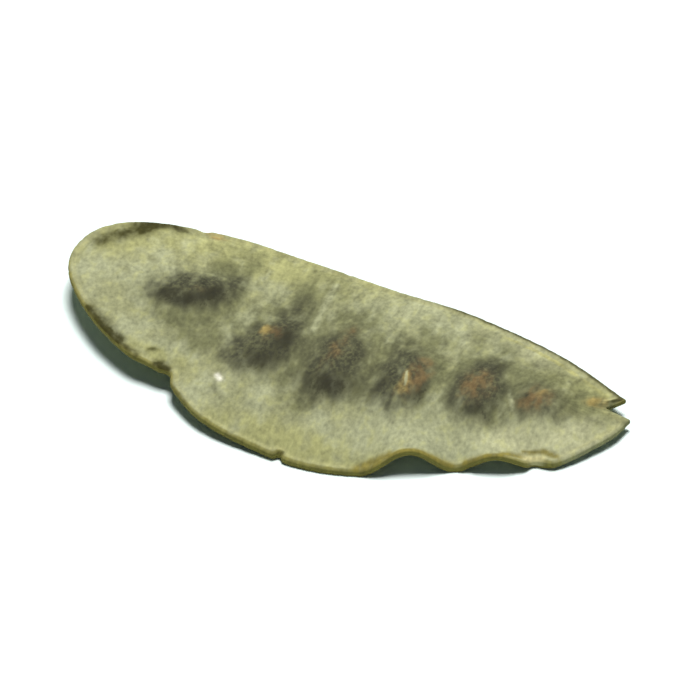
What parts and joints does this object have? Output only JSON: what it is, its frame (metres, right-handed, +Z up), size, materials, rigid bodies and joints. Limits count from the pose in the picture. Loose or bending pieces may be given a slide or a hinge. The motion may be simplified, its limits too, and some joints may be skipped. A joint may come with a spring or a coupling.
{
  "type": "senna pod",
  "caption": "Dried senna pod, flat, papery and kidney-shaped, with a row of seed bulges, waved margin and split tip.",
  "frame": {"origin": "on the surface that the pod lies on, under the middle of its outline", "axes": "+X along the pod from its rounded end to its split tip, +Y to its straighter margin, +Z up"},
  "size_m": [0.048, 0.0224, 0.0032],
  "materials": {
    "pod_skin": "matt, dry and papery, sage green with dark patches over the seeds"
  },
  "bodies": {
    "root": {"pod": "pod_skin"}
  },
  "joints": []
}
